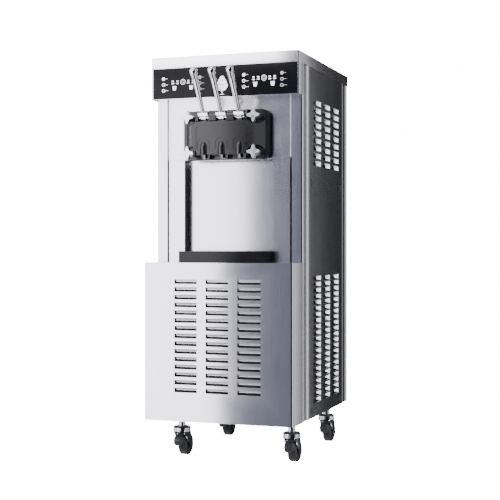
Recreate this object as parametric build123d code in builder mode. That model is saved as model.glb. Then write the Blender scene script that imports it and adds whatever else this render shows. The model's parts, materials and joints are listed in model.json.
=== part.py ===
from build123d import *
import math
import os

# A floor-standing soft-serve machine on four casters, in millimetres. +Z is up, the outlets
# face -Y and +X is the right-hand side of someone who stands in front of it.

os.makedirs("parts", exist_ok=True)

# ---- Driving dimensions -------------------------------------------------------------------

# Cabinet
body_width = 525
body_depth = 578
cabinet_bottom = 150
roof_top = 1375
roof_band = 37
roof_side_overhang = 1
roof_rear_overhang = 5
sheet = 1.5
post_sheet = 2
joint_gap = 0.3
panel_hem = 15
panel_seam = 7

# Corner posts
post_face = 38
front_post_depth = 72
rear_post_depth = 78
post_bead_width = 15
post_bead_rise = 4
post_corner_radius = 8

# Control housing, at the top of the front
housing_depth = 44.5
housing_height = 106
housing_corner_radius = 4
fascia_thickness = 3
fascia_side_margin = 5.5
fascia_top_margin = 1

# Front panels
panel_split = 1029
recess_width = 320
recess_depth = 36

# Lower cover
cover_side_inset = 0.5
cover_depth = 108.6
cover_top = 678.4
cover_corner_radius = 9

# Louvres
louvre_slot = 15.5
side_louvre_depth = 16
front_louvre_step = 4
front_louvre_depth = 9
louvre_throat = 4
louvre_sheet = 1.2
louvre_columns = 3
front_louvre_margin = 110.5
front_louvre_gap = 31.5
front_louvre_rows = 15
front_louvre_pitch = 25.8
front_louvre_first = 623.5
side_louvre_margin = 52
side_louvre_gap = 27
upper_louvre_rows = 9
upper_louvre_pitch = 25.9
upper_louvre_below_roof = 105
lower_louvre_rows = 21
lower_louvre_pitch = 20.9
lower_louvre_first = 631
back_slot_rows = 8
back_slot_offset = 90
back_slot_length = 110
back_slot_height = 6
side_cap_radius = 12.5
side_cap_rise = 1
side_cap_inset = 34
side_cap_heights = (947, 173)

# Drip tray
tray_width = 309
tray_front = 68
tray_back = 34
tray_height = 38
tray_wall = 2.5
grid_thickness = 3

# Freezing cylinders and dashers
outlet_spacing = 63.5
cylinder_radius = 59
cylinder_wall = 3
cylinder_length = 330
cylinder_height = 1104
cylinder_front = 2
gasket_thickness = 3
shaft_radius = 8
running_fit = 0.05

# Dispenser
flange_width = 306
flange_bottom = 1023
flange_top = 1190
flange_corner_radius = 25
flange_front = 25
block_root_width = 280
block_front_width = 218
block_front = 60
block_bottom = 1038
block_top = 1152
block_cover = 8
tooth_height = 34
tooth_front = 72
tooth_row_half = 92
bulge_radius = 15
bulge_top = 1087
bulge_shoulder = 1062
groove_half = 91
groove_bottom = 1055
groove_top = 1137
groove_arch = 20
groove_width = 2
groove_depth = 1.5
lever_slot_width = 38
plunger_radius = 8
plunger_rest_bottom = 1051.5
passage_radius = 5.5
passage_height = 1062
nozzle_radius = 17
nozzle_bore = 5.5
nozzle_bottom = 1026

# Levers
pivot_forward = 62
pivot_height = 1163
pin_radius = 4
lever_length = 168
lever_lean = 33.5
lever_neck_radius = 10.5
lever_head_radius = 14
lever_head_flare = 22
lever_root_radius = 5.5
lever_hub_radius = 9
lever_hub_width = 16
clevis_width = 35
clevis_height = 14
lever_swing = 50
tail_reach = 20
finger_radius = 3.5
finger_play = 0.6

# Star knobs
knob_side = 117
knob_heights = (1044.5, 1164)
knob_radius = 22.5
knob_front = 85
knob_head = 16
knob_lobe_radius = 4.5
knob_core_radius = 11
knob_notch_radius = 24.5
stud_radius = 4

# Hoppers
hopper_gap = 24
hopper_side_margin = 50.5
hopper_front_margin = 130
hopper_rear_margin = 108
hopper_depth = 190
hopper_wall = 2
hopper_rim = 11.5
hopper_corner_radius = 12
lid_thickness = 12
lid_handle_height = 28
tube_radius = 12
tube_wall = 2

# Drive
motor_height = 860
motor_radius = 75
motor_length = 210
motor_back = 370
beater_pulley_radius = 55
motor_pulley_radius = 30
belt_width = 12
belt_thickness = 6
belt_spacing = 18
belt_play = 0.3

# Chassis
upright = 25
base_beam = 40
base_height = 30
shelf_sheet = 3
cylinder_plate = 4
cylinder_plate_back = 8

# Cooling
condenser_side_margin = 82.5
condenser_height = 330
condenser_front = 10
condenser_thickness = 44
shroud_sheet = 3
fan_radius = 120
fan_play = 6
fan_hub_radius = 28
fan_blades = 5
fan_motor_radius = 40
fan_shaft_radius = 5
compressor_radius = 80
compressor_height = 210
compressor_side = 95
compressor_rear_margin = 160
pipe_radius = 4
gland_radius = 11
gland_drop = 16

# Casters
caster_side_inset = 61.5
caster_end_inset = 72
trail_short_of_radius = 2.5
wheel_radius = 37.5
wheel_width = 31
wheel_axle_radius = 6
stem_radius = 12.5
swivel_head_radius = 30
swivel_head_height = 18
wheel_head_gap = 13
fork_plate = 4
fork_gap = 3
pedal_nose_radius = 18
pedal_nose_round = 10
pedal_nose_forward = 19
pedal_nose_drop = 22
pedal_overlap = 1.5
pedal_arm_half = 10

# ---- Values worked out from them ------------------------------------------------------------

lean = math.radians(lever_lean)
lever_reach = pivot_forward + lever_length * math.sin(lean) + lever_head_radius

# Y of the cabinet's front plane, so that the origin is below the middle of the whole machine
front = (lever_reach - body_depth - roof_rear_overhang) / 2

half_body = body_width / 2
half_roof = half_body + roof_side_overhang
rear = front + body_depth
roof_bottom = roof_top - roof_band
housing_bottom = roof_bottom - housing_height
half_cover = half_body - cover_side_inset
cover_front = front - cover_depth
upper_louvre_first = roof_bottom - upper_louvre_below_roof
post_wall_inside = half_body - post_bead_rise - post_sheet
upright_inner = post_wall_inside - upright
hopper_inner = hopper_gap / 2
hopper_outer = half_body - hopper_side_margin
hopper_front = front + hopper_front_margin
hopper_back = rear - hopper_rear_margin
hopper_floor = roof_top - hopper_depth
caster_x = half_body - caster_side_inset
caster_trail = wheel_radius - trail_short_of_radius
swivel_head_bottom = 2 * wheel_radius + wheel_head_gap
swivel_head_top = swivel_head_bottom + swivel_head_height
caster_rows = (front + caster_end_inset, rear - caster_end_inset)
saddle_front = front - cylinder_front + cylinder_length - 12
post_inner = half_body - post_face
panel_half = post_inner - panel_seam
side_front = front + front_post_depth
side_rear = rear - rear_post_depth
outlets = (-outlet_spacing, 0, outlet_spacing)
sides = {"left": -1, "right": 1}
pivot_y = front - pivot_forward
tail_angle = lever_swing / 2
plunger_y = pivot_y + tail_reach * (1 + math.cos(math.radians(tail_angle))) / 2
finger_height = pivot_height - tail_reach * math.sin(math.radians(tail_angle))
flange_back = front - cylinder_front - gasket_thickness
motor_pulley_front = front + motor_back + 6
base_top = cabinet_bottom + base_height
shelf_height = motor_height - motor_radius - 20


# ---- Helpers --------------------------------------------------------------------------------

def block(x_span, y_span, z_span, mode=Mode.ADD):
    """A box between a low and a high value on each axis."""
    spans = (x_span, y_span, z_span)
    centre = tuple((low + high) / 2 for low, high in spans)
    size = tuple(high - low for low, high in spans)
    with Locations(centre):
        Box(*size, mode=mode)


def rod(start, end, radius, mode=Mode.ADD):
    """A round bar, or a round hole, from one point to another."""
    axis = Vector(*end) - Vector(*start)
    middle = (Vector(*start) + Vector(*end)) / 2
    with Locations(Plane(origin=middle, z_dir=axis).location):
        Cylinder(radius, axis.length, mode=mode)


def facing_front(y):
    """A plane at y whose sketch is X across and Z up, and whose normal points to the front."""
    return Plane(origin=(0, y, 0), x_dir=(1, 0, 0), z_dir=(0, -1, 0))


def facing_right(x):
    """A plane at x whose sketch is Y across and Z up."""
    return Plane.YZ.offset(x)


def keep(piece, node):
    """Labels a finished piece and writes it as a STEP file."""
    piece.label = node
    export_step(piece, f"parts/{node}.step")


# ---- Cabinet --------------------------------------------------------------------------------

def post_outline(end, inward, depth, bead):
    """Half section of a corner post: a face leg, a rolled corner and a side leg with a bead.

    The face leg lies at y = end, and the side leg runs from there in the inward direction."""
    r = post_corner_radius
    low_side = half_body - post_bead_rise
    stop = end + inward * (depth - joint_gap)
    bead_start = stop - inward * bead
    with BuildSketch(Plane.XY.offset(cabinet_bottom), mode=Mode.PRIVATE) as section:
        with BuildLine():
            Line((post_inner, end), (half_body - r, end))
            RadiusArc((half_body - r, end), (half_body, end + inward * r), -inward * r)
            Polyline(
                (half_body, end + inward * r),
                (half_body, end + inward * (r + post_bead_rise)),
                (low_side, end + inward * (r + 2 * post_bead_rise)),
                (low_side, bead_start),
            )
            ThreePointArc(
                (low_side, bead_start), (half_body, (bead_start + stop) / 2), (low_side, stop)
            )
            Polyline((low_side, stop), (post_inner, stop), (post_inner, end))
        make_face()
        hollow_start = end + inward * post_sheet
        hollow_end = stop + inward
        hollow = ((post_inner - 1 + post_wall_inside) / 2, (hollow_start + hollow_end) / 2)
        with Locations(hollow):
            Rectangle(
                post_wall_inside - post_inner + 1, abs(hollow_end - hollow_start), mode=Mode.SUBTRACT
            )
    return section.sketch


def make_posts(end, inward, depth, bead, node):
    with BuildPart() as posts:
        extrude(post_outline(end, inward, depth, bead), amount=roof_bottom - cabinet_bottom)
        mirror(about=Plane.YZ)
    keep(posts.part, node)


def louvre_faces(plane, face, ledge, deep, first, rows, pitch, air):
    """Sections of a column of pressed-in louvres: their skins, or the air in front of them.

    Each skin runs from the ledge below the slot's top edge down to its lip, at the deep side."""
    inward = math.copysign(1, deep - face)
    with BuildSketch(plane, mode=Mode.PRIVATE) as sections:
        for row in range(rows):
            top = first - row * pitch
            low = top - louvre_slot
            lip = low + louvre_throat
            back = deep + inward * louvre_sheet
            outside = face - inward
            beyond = back + inward
            with BuildLine():
                if air:
                    Polyline(
                        (outside, top), (ledge, top), (deep, lip), (beyond, lip),
                        (beyond, low), (outside, low), close=True,
                    )
                else:
                    Polyline(
                        (face, top + louvre_sheet), (ledge, top + louvre_sheet),
                        (back, lip + louvre_sheet), (back, lip), (face, low), close=True,
                    )
            make_face()
    return sections.sketch


def louvre_column(plane, face, ledge, deep, length, first, rows, pitch):
    """Presses one column of louvres into the part. The plane stands at the column's start."""
    skin_plane = plane.offset(-louvre_sheet)
    skins = louvre_faces(skin_plane, face, ledge, deep, first, rows, pitch, air=False)
    extrude(skins, amount=length + 2 * louvre_sheet)
    gaps = louvre_faces(plane, face, ledge, deep, first, rows, pitch, air=True)
    extrude(gaps, amount=length, mode=Mode.SUBTRACT)


def make_side_panel(side, node):
    """A flat panel between the corner posts, with hemmed edges and two groups of louvres."""
    face = side * half_body
    inner = face - side * sheet
    ledge = face - side * louvre_sheet
    deep = face - side * side_louvre_depth
    hem = side * post_wall_inside
    y_span = (side_front, side_rear)
    z_span = (cabinet_bottom, roof_bottom - joint_gap)
    length = (side_rear - side_front - 2 * side_louvre_margin) / louvre_columns
    length -= side_louvre_gap * (louvre_columns - 1) / louvre_columns
    with BuildPart() as panel:
        block(sorted((inner, face)), y_span, z_span)
        for start in (side_front, side_rear - sheet):
            block(sorted((hem, face)), (start, start + sheet), z_span)
        for column in range(louvre_columns):
            near = side_front + side_louvre_margin + column * (length + side_louvre_gap)
            plane = facing_front(near + length)
            louvre_column(
                plane, face, ledge, deep, length,
                upper_louvre_first, upper_louvre_rows, upper_louvre_pitch,
            )
            louvre_column(
                plane, face, ledge, deep, length,
                lower_louvre_first, lower_louvre_rows, lower_louvre_pitch,
            )
        for y, z in cap_places():
            rod((hem, y, z), (face + side, y, z), stud_radius + joint_gap, mode=Mode.SUBTRACT)
    keep(panel.part, node)


def cap_places():
    """Where the round caps sit on a side panel, as Y and Z."""
    rows = (side_front + side_cap_inset, side_rear - side_cap_inset + 4)
    return [(y, z) for y in rows for z in side_cap_heights]


def make_panel_screws():
    """Round caps over the screws that hold the side panels."""
    with BuildPart() as screws:
        for side in sides.values():
            face = side * half_body
            for y, z in cap_places():
                rod((face, y, z), (face + side * side_cap_rise, y, z), side_cap_radius)
                rod((side * post_wall_inside, y, z), (face, y, z), stud_radius)
    keep(screws.part, "panel_screws")


def make_back_panel():
    """The rear wall, hemmed at its sides, with two groups of vent slots."""
    half = post_inner - joint_gap
    with BuildPart() as panel:
        block((-half, half), (rear - sheet, rear), (cabinet_bottom, roof_bottom - joint_gap))
        for x in (-half, half - sheet):
            block((x, x + sheet), (rear - panel_hem, rear), (base_top, roof_bottom - panel_hem * 3))
        for top in (lower_louvre_first, upper_louvre_first):
            for row in range(back_slot_rows):
                z = top - row * lower_louvre_pitch
                for x in (-back_slot_offset, back_slot_offset):
                    block(
                        (x - back_slot_length / 2, x + back_slot_length / 2),
                        (rear - 2 * sheet, rear + 1), (z - back_slot_height, z), mode=Mode.SUBTRACT,
                    )
    keep(panel.part, "back_panel")


def make_roof():
    """A shallow pan, open below, with a cut-out for each hopper."""
    y_span = (front - housing_depth, rear + roof_rear_overhang)
    with BuildPart() as roof:
        block((-half_roof, half_roof), y_span, (roof_bottom, roof_top))
        fillet(roof.edges().filter_by(Axis.Z), housing_corner_radius)
        fillet(roof.faces().sort_by(Axis.Z)[-1].edges(), 2 * sheet)
        block(
            (sheet - half_roof, half_roof - sheet),
            (y_span[0] + sheet, y_span[1] - sheet),
            (roof_bottom, roof_top - sheet),
            mode=Mode.SUBTRACT,
        )
        for side in sides.values():
            across = sorted((side * hopper_inner, side * hopper_outer))
            block(
                (across[0] - joint_gap, across[1] + joint_gap),
                (hopper_front - joint_gap, hopper_back + joint_gap),
                (roof_bottom, roof_top + 1),
                mode=Mode.SUBTRACT,
            )
    keep(roof.part, "roof_cover")


def make_control_housing():
    """The box over the dispenser that holds the control panel in a shallow pocket."""
    face = front - housing_depth
    pocket_half = half_roof - fascia_side_margin
    with BuildPart() as housing:
        block((-half_roof, half_roof), (face, front), (housing_bottom, roof_bottom))
        corners = housing.edges().filter_by(Axis.Z).group_by(Axis.Y)[0]
        fillet(corners, housing_corner_radius)
        block(
            (-pocket_half, pocket_half),
            (face - 1, face + fascia_thickness),
            (housing_bottom + sheet, roof_bottom - fascia_top_margin),
            mode=Mode.SUBTRACT,
        )
        block(
            (sheet - half_roof, half_roof - sheet),
            (face + fascia_thickness + sheet, front + 1),
            (housing_bottom + sheet, roof_bottom - sheet),
            mode=Mode.SUBTRACT,
        )
    keep(housing.part, "control_housing")


def make_control_panel():
    """The black plate in the housing's pocket, flush with its edges."""
    face = front - housing_depth
    pocket_half = half_roof - fascia_side_margin
    with BuildPart() as plate:
        block(
            (joint_gap - pocket_half, pocket_half - joint_gap),
            (face, face + fascia_thickness),
            (housing_bottom + sheet + joint_gap, roof_bottom - fascia_top_margin - joint_gap),
        )
        fillet(plate.edges().filter_by(Axis.Y), 1.5)
    keep(plate.part, "control_panel")


def make_control_board():
    """The circuit board behind the control panel, on four pillars."""
    seat = front - housing_depth + fascia_thickness + sheet
    board_back = seat + 8
    with BuildPart() as board:
        block((-130, 130), (seat + 6, board_back), (housing_bottom + 22, roof_bottom - 22))
        for x in (-120, 120):
            for z in (housing_bottom + 32, roof_bottom - 32):
                rod((x, seat, z), (x, seat + 6, z), 4)
        for x in (-90, -30, 30, 90):
            block((x - 12, x + 12), (board_back, board_back + 14), (housing_bottom + 40, roof_bottom - 40))
    keep(board.part, "control_board")


def make_front_panel():
    """The flat panel behind the dispenser, with holes for the cylinders and the studs."""
    z_span = (panel_split + joint_gap, roof_bottom - joint_gap)
    plate_face = front + cylinder_plate_back - cylinder_plate
    with BuildPart() as panel:
        block((-panel_half, panel_half), (front, front + sheet), z_span)
        for x in (-panel_half, panel_half - sheet):
            block((x, x + sheet), (front, plate_face), z_span)
        for side in sides.values():
            x = side * outlet_spacing
            hole = cylinder_radius + joint_gap
            rod((x, front - 1, cylinder_height), (x, front + 5, cylinder_height), hole, Mode.SUBTRACT)
            for z in knob_heights:
                x = side * knob_side
                rod((x, front - 1, z), (x, front + 5, z), stud_radius + joint_gap, Mode.SUBTRACT)
    keep(panel.part, "front_panel")


def make_splash_panel():
    """The panel under the dispenser, pressed back into a recess for a cup."""
    half = recess_width / 2
    back = front + recess_depth
    top = panel_split - joint_gap
    with BuildPart() as panel:
        block((-panel_half, panel_half), (front, front + sheet), (cover_top, top))
        for x in (-panel_half, panel_half - sheet):
            block((x, x + sheet), (front, front + panel_hem), (cover_top, top))
        block((-half - sheet, half + sheet), (front, back + sheet), (cover_top - sheet, top))
        block((-half, half), (front - 1, back), (cover_top, top - sheet), mode=Mode.SUBTRACT)
    keep(panel.part, "splash_panel")


def make_lower_cover():
    """The deep box on the lower front, open behind, with three columns of louvres."""
    with BuildPart() as cover:
        block((-half_cover, half_cover), (cover_front, front), (cabinet_bottom, cover_top))
        fillet(cover.edges().filter_by(Axis.Z).group_by(Axis.Y)[0], cover_corner_radius)
        offset(amount=-sheet, openings=cover.faces().sort_by(Axis.Y)[-1])
        length = (2 * half_cover - 2 * front_louvre_margin) / louvre_columns
        length -= front_louvre_gap * (louvre_columns - 1) / louvre_columns
        for column in range(louvre_columns):
            start = front_louvre_margin - half_cover + column * (length + front_louvre_gap)
            louvre_column(
                facing_right(start), cover_front, cover_front + front_louvre_step,
                cover_front + front_louvre_depth, length,
                front_louvre_first, front_louvre_rows, front_louvre_pitch,
            )
    keep(cover.part, "lower_cover")


def make_chassis():
    """The welded frame: base ring on caster bosses, uprights, top rails, shelf and plates."""
    outer = post_wall_inside
    near = front + post_sheet
    far = rear - post_sheet
    rail_top = roof_top - sheet
    with BuildPart() as chassis:
        block((-outer, outer), (near, far), (cabinet_bottom, base_top))
        block(
            (base_beam - outer, outer - base_beam), (near + base_beam, far - base_beam),
            (cabinet_bottom - 1, base_top - shelf_sheet), mode=Mode.SUBTRACT,
        )
        for x in (-outer, upright_inner):
            for y in (near, far - upright):
                block((x, x + upright), (y, y + upright), (base_top, rail_top))
            block((x, x + upright), (near, far), (rail_top - upright, rail_top))
        for y in (near, far - upright):
            block((-outer, outer), (y, y + upright), (rail_top - upright, rail_top))
        shelf_z = (shelf_height - shelf_sheet, shelf_height)
        block((-outer, outer), (front + recess_depth + upright, rear - panel_hem), shelf_z)
        jamb_y = (front + panel_hem + 2, front + panel_hem + 2 + post_sheet)
        for way in (-1, 1):
            jamb_x = sorted((way * (panel_half - 6), way * (upright_inner + 1)))
            block(jamb_x, jamb_y, (base_top, panel_split))
        plate_y = (front + cylinder_plate_back - cylinder_plate, front + cylinder_plate_back)
        block((-outer, outer), plate_y, (panel_split, housing_bottom))
        saddle_y = (saddle_front, saddle_front + cylinder_plate)
        saddle_half = outlet_spacing + cylinder_radius + upright
        saddle_bottom = motor_height + motor_radius + 10
        block((-saddle_half, saddle_half), saddle_y, (saddle_bottom, cylinder_height))
        for x in (-saddle_half, saddle_half - upright):
            block((x, x + upright), saddle_y, (shelf_height, saddle_bottom))
        for side in sides.values():
            x = side * outlet_spacing
            hole = cylinder_radius + joint_gap
            for y in (front, saddle_front - 1):
                rod((x, y, cylinder_height), (x, y + 20, cylinder_height), hole, Mode.SUBTRACT)
            for y in caster_rows:
                x = side * caster_x
                rod((x, y, cabinet_bottom), (x, y, base_top), stem_radius + 10)
                bore = stem_radius + running_fit
                rod((x, y, cabinet_bottom - 1), (x, y, base_top - 4), bore, Mode.SUBTRACT)
    keep(chassis.part, "chassis")


# ---- Dispenser ------------------------------------------------------------------------------

def knob_notches():
    """Clears the round corners that the star knobs stand in."""
    for x in (-knob_side, knob_side):
        for z in knob_heights:
            start = (x, front - flange_front, z)
            end = (x, front - knob_front, z)
            rod(start, end, knob_notch_radius, mode=Mode.SUBTRACT)


def make_dispenser_body():
    """The flanged block with three plunger bores, and teeth that hold the lever pin."""
    root = front - flange_front
    face = front - block_front
    height = block_top - block_bottom
    middle = (block_top + block_bottom) / 2
    with BuildPart() as body:
        with BuildSketch(facing_front(flange_back)):
            with Locations((0, (flange_bottom + flange_top) / 2)):
                RectangleRounded(flange_width, flange_top - flange_bottom, flange_corner_radius)
        extrude(amount=flange_back - root)
        fillet(body.faces().sort_by(Axis.Y)[0].edges(), 3)
        with BuildSketch(facing_front(root)):
            with Locations((0, middle)):
                Rectangle(block_root_width, height)
        with BuildSketch(facing_front(face)):
            with Locations((0, middle)):
                Rectangle(block_front_width, height)
        loft()
        with BuildSketch(facing_right(-tooth_row_half)) as tooth:
            with BuildLine():
                tip = front - tooth_front
                top = block_top + tooth_height
                Polyline((root, block_top), (root, top), (pivot_y, top))
                RadiusArc((pivot_y, top), (tip, pivot_height), -(top - pivot_height))
                Polyline((tip, pivot_height), (tip, block_top), (root, block_top))
            make_face()
        extrude(amount=2 * tooth_row_half)
        for x in outlets:
            half = lever_slot_width / 2
            slot_top = block_top + tooth_height + 1
            block((x - half, x + half), (front - 90, root), (block_top, slot_top), mode=Mode.SUBTRACT)
            bore = plunger_radius + running_fit
            rod((x, plunger_y, block_bottom - 1), (x, plunger_y, slot_top), bore, Mode.SUBTRACT)
        for side in sides.values():
            x = side * outlet_spacing
            start = (x, flange_back + 1, passage_height)
            rod(start, (x, plunger_y, passage_height), passage_radius, mode=Mode.SUBTRACT)
            for z in knob_heights:
                start = (side * knob_side, flange_back + 1, z)
                end = (side * knob_side, root - 1, z)
                rod(start, end, stud_radius + joint_gap, mode=Mode.SUBTRACT)
        start = (-outlet_spacing, plunger_y, passage_height)
        end = (outlet_spacing, plunger_y, passage_height)
        rod(start, end, passage_radius, mode=Mode.SUBTRACT)
        start = (-tooth_row_half - 1, pivot_y, pivot_height)
        end = (tooth_row_half + 1, pivot_y, pivot_height)
        rod(start, end, pin_radius + running_fit, mode=Mode.SUBTRACT)
        knob_notches()
    keep(body.part, "dispenser_body")


def make_dispenser_cover():
    """The front plate: three bullet-shaped bulges and an engraved outline that arches over them."""
    back = front - block_front
    face = back - block_cover
    height = block_top - block_bottom
    with BuildPart() as cover:
        with BuildSketch(facing_front(back)):
            with Locations((0, (block_top + block_bottom) / 2)):
                Rectangle(block_front_width, height)
        extrude(amount=block_cover)
        knob_notches()
        chamfer(cover.faces().sort_by(Axis.Y)[0].edges(), 2.5)
        for x in outlets:
            with BuildSketch(facing_front(back)):
                with BuildLine():
                    Line((x, block_bottom), (x + bulge_radius, block_bottom))
                    Line((x + bulge_radius, block_bottom), (x + bulge_radius, bulge_shoulder))
                    Spline(
                        (x + bulge_radius, bulge_shoulder), (x, bulge_top),
                        tangents=[(0, 1), (-1, 0.35)],
                    )
                    Line((x, bulge_top), (x, block_bottom))
                make_face()
            revolve(axis=Axis((x, back, 0), (0, 0, 1)))
        block((-half_body, half_body), (back, back + 2 * bulge_radius), (0, roof_top), mode=Mode.SUBTRACT)
        outline_height = groove_top - groove_bottom
        with BuildSketch(facing_front(face), mode=Mode.PRIVATE) as outline:
            with Locations((0, (groove_top + groove_bottom) / 2)):
                RectangleRounded(2 * groove_half, outline_height, 12)
            with Locations(*[(x, bulge_top - groove_arch + 8) for x in outlets]):
                Circle(groove_arch, mode=Mode.SUBTRACT)
            arch_height = bulge_top - groove_arch + 8 - groove_bottom
            with Locations(*[(x, groove_bottom + arch_height / 2 - 1) for x in outlets]):
                Rectangle(2 * groove_arch, arch_height + 2, mode=Mode.SUBTRACT)
        with BuildSketch(facing_front(face), mode=Mode.PRIVATE) as groove:
            add(outline.sketch)
            offset(outline.sketch, amount=-groove_width, kind=Kind.INTERSECTION, mode=Mode.SUBTRACT)
        extrude(groove.sketch, amount=-groove_depth, mode=Mode.SUBTRACT)
    keep(cover.part, "dispenser_cover")


def make_gaskets():
    """A flat ring between each cylinder and the dispenser's flange."""
    with BuildPart() as rings:
        for side in sides.values():
            x = side * outlet_spacing
            start = (x, flange_back, cylinder_height)
            end = (x, flange_back + gasket_thickness, cylinder_height)
            rod(start, end, cylinder_radius)
            inner = cylinder_radius - 3 * cylinder_wall
            rod(start, end, inner, mode=Mode.SUBTRACT)
    keep(rings.part, "dispenser_gasket")


def make_lever_pin():
    with BuildPart() as pin:
        start = (-tooth_row_half, pivot_y, pivot_height)
        rod(start, (tooth_row_half, pivot_y, pivot_height), pin_radius)
    keep(pin.part, "lever_pin")


def make_studs():
    """Four studs from the cylinder plate, through the flange, for the star knobs."""
    with BuildPart() as studs:
        for x in (-knob_side, knob_side):
            for z in knob_heights:
                root = front + cylinder_plate_back - cylinder_plate
                rod((x, root, z), (x, front - knob_front + knob_head, z), stud_radius)
    keep(studs.part, "dispenser_studs")


def make_nozzles():
    """Three outlets: a collar below the block and a spigot in each plunger bore."""
    with BuildPart() as nozzles:
        for x in outlets:
            bottom = (x, plunger_y, nozzle_bottom)
            seat = (x, plunger_y, block_bottom)
            top = (x, plunger_y, block_bottom + 12)
            with Locations((x, plunger_y, (nozzle_bottom + block_bottom) / 2)):
                Cone(nozzle_radius - 4, nozzle_radius, block_bottom - nozzle_bottom)
            rod(seat, top, plunger_radius)
            rod(bottom, top, nozzle_bore, mode=Mode.SUBTRACT)
    keep(nozzles.part, "nozzles")


def make_lever(x, node):
    """A tapered handle on a hub, with a rounded finger behind that lifts the plunger."""
    tilt = Plane(
        origin=(x, pivot_y, pivot_height), x_dir=(1, 0, 0), z_dir=(0, -math.sin(lean), math.cos(lean))
    )
    tail = math.radians(tail_angle)
    back_along = Plane(
        origin=(x, pivot_y, pivot_height), x_dir=(1, 0, 0), z_dir=(0, math.cos(tail), -math.sin(tail))
    )
    with BuildPart() as lever:
        with Locations(tilt.offset(lever_hub_radius - 2 + clevis_height / 2).location):
            Box(clevis_width, clevis_height, clevis_height)
        fillet(lever.edges(), 1)
        start = (x - lever_hub_width / 2, pivot_y, pivot_height)
        end = (x + lever_hub_width / 2, pivot_y, pivot_height)
        rod(start, end, lever_hub_radius)
        neck = lever_length - lever_head_flare
        with Locations(tilt.offset(neck / 2).location):
            Cone(lever_root_radius, lever_neck_radius, neck)
        with Locations(tilt.offset(neck + lever_head_flare / 2).location):
            Cone(lever_neck_radius, lever_head_radius, lever_head_flare)
        with Locations(tilt.offset(lever_length).location):
            Sphere(lever_head_radius)
        with Locations(back_along.offset(tail_reach / 2).location):
            Box(2 * finger_radius, 1.4 * finger_radius, tail_reach)
        finger = (0, tail_reach * math.cos(tail), -tail_reach * math.sin(tail))
        half = 1.4 * finger_radius
        finger_y = pivot_y + finger[1]
        finger_z = pivot_height + finger[2]
        rod((x - half, finger_y, finger_z), (x + half, finger_y, finger_z), finger_radius)
        rod(start, end, pin_radius + running_fit, mode=Mode.SUBTRACT)
    keep(lever.part, node)


def make_plunger(x, node):
    """A round valve rod with two seal grooves and a flared slot for the lever's finger."""
    top = finger_height + 14
    with BuildPart() as plunger:
        rod((x, plunger_y, plunger_rest_bottom), (x, plunger_y, top), plunger_radius)
        back = plunger_y + plunger_radius - 2
        mouth = plunger_y - plunger_radius - 1
        half = finger_radius + finger_play
        with BuildSketch(facing_right(x - plunger_radius - 1)):
            with BuildLine():
                Polyline(
                    (back, finger_height - half), (plunger_y - 2, finger_height - half),
                    (mouth, finger_height - 2.2 * half), (mouth, finger_height + 2.2 * half),
                    (plunger_y - 2, finger_height + half), (back, finger_height + half), close=True,
                )
            make_face()
        extrude(amount=2 * plunger_radius + 2, mode=Mode.SUBTRACT)
        for z in (plunger_rest_bottom + 22, plunger_rest_bottom + 70):
            with Locations((x, plunger_y, z)):
                Torus(plunger_radius, 1.2, mode=Mode.SUBTRACT)
    keep(plunger.part, node)


def knob_lobe(reach):
    """One tapered lobe, from the knob's core to its rounded tip."""
    with BuildSketch(mode=Mode.PRIVATE) as lobe:
        Circle(knob_core_radius - 1)
        with Locations((reach, 0)):
            Circle(knob_lobe_radius)
        make_hull()
    return lobe.sketch


def make_star_knob(x, z, node):
    """A four-lobed hand nut on a sleeve, with a blind bore over its stud."""
    head_back = front - knob_front + knob_head
    seat = front - flange_front - joint_gap
    reach = knob_radius - knob_lobe_radius
    with BuildPart() as knob:
        with BuildSketch(facing_front(head_back)):
            with Locations((x, z)):
                Circle(knob_core_radius)
                for turn in range(4):
                    add(knob_lobe(reach).rotate(Axis.Z, 90 * turn))
        extrude(amount=knob_head)
        chamfer(knob.faces().sort_by(Axis.Y)[0].edges(), 1)
        rod((x, seat, z), (x, head_back, z), knob_radius / 2)
        stop = (x, head_back - 1, z)
        rod((x, seat + 1, z), stop, stud_radius + running_fit, mode=Mode.SUBTRACT)
    keep(knob.part, node)


# ---- Drip tray ------------------------------------------------------------------------------

def make_drip_tray():
    """A deep black tray with a ledge for its grid. It stands on the cover and in the recess."""
    half = tray_width / 2
    low = cover_top + joint_gap
    high = low + tray_height
    y_span = (front - tray_front, front + tray_back)
    ledge = high - grid_thickness - 2 * joint_gap
    with BuildPart() as tray:
        block((-half, half), y_span, (low, high))
        fillet(tray.edges().filter_by(Axis.Z), 4)
        fillet(tray.faces().sort_by(Axis.Z)[-1].edges(), 1)
        block(
            (tray_wall - half, half - tray_wall), (y_span[0] + tray_wall, y_span[1] - tray_wall),
            (ledge, high + 1), mode=Mode.SUBTRACT,
        )
        inner = 2 * tray_wall
        block(
            (inner - half, half - inner), (y_span[0] + inner, y_span[1] - inner),
            (low + tray_wall, high), mode=Mode.SUBTRACT,
        )
    keep(tray.part, "drip_tray")


def make_drip_grid():
    """The lift-out plate over the tray, with rows of long slots."""
    half = tray_width / 2 - tray_wall - joint_gap
    ledge = cover_top + tray_height - grid_thickness - joint_gap
    y_span = (front - tray_front + tray_wall + joint_gap, front + tray_back - tray_wall - joint_gap)
    with BuildPart() as grid:
        block((-half, half), y_span, (ledge + joint_gap, ledge + joint_gap + grid_thickness))
        with Locations((0, (y_span[0] + y_span[1]) / 2, ledge)):
            with GridLocations(14, y_span[1] - y_span[0] - 50, 20, 2):
                Box(6, 34, 6 * grid_thickness, mode=Mode.SUBTRACT)
    keep(grid.part, "drip_grid")


# ---- Mix hoppers, cylinders and dashers -----------------------------------------------------

def hopper_span(side):
    return sorted((side * hopper_inner, side * hopper_outer))


def tube_place(side):
    """Where a feed tube stands, near the front of its hopper, as X and Y."""
    return side * outlet_spacing, hopper_front + 3 * tube_radius


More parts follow.
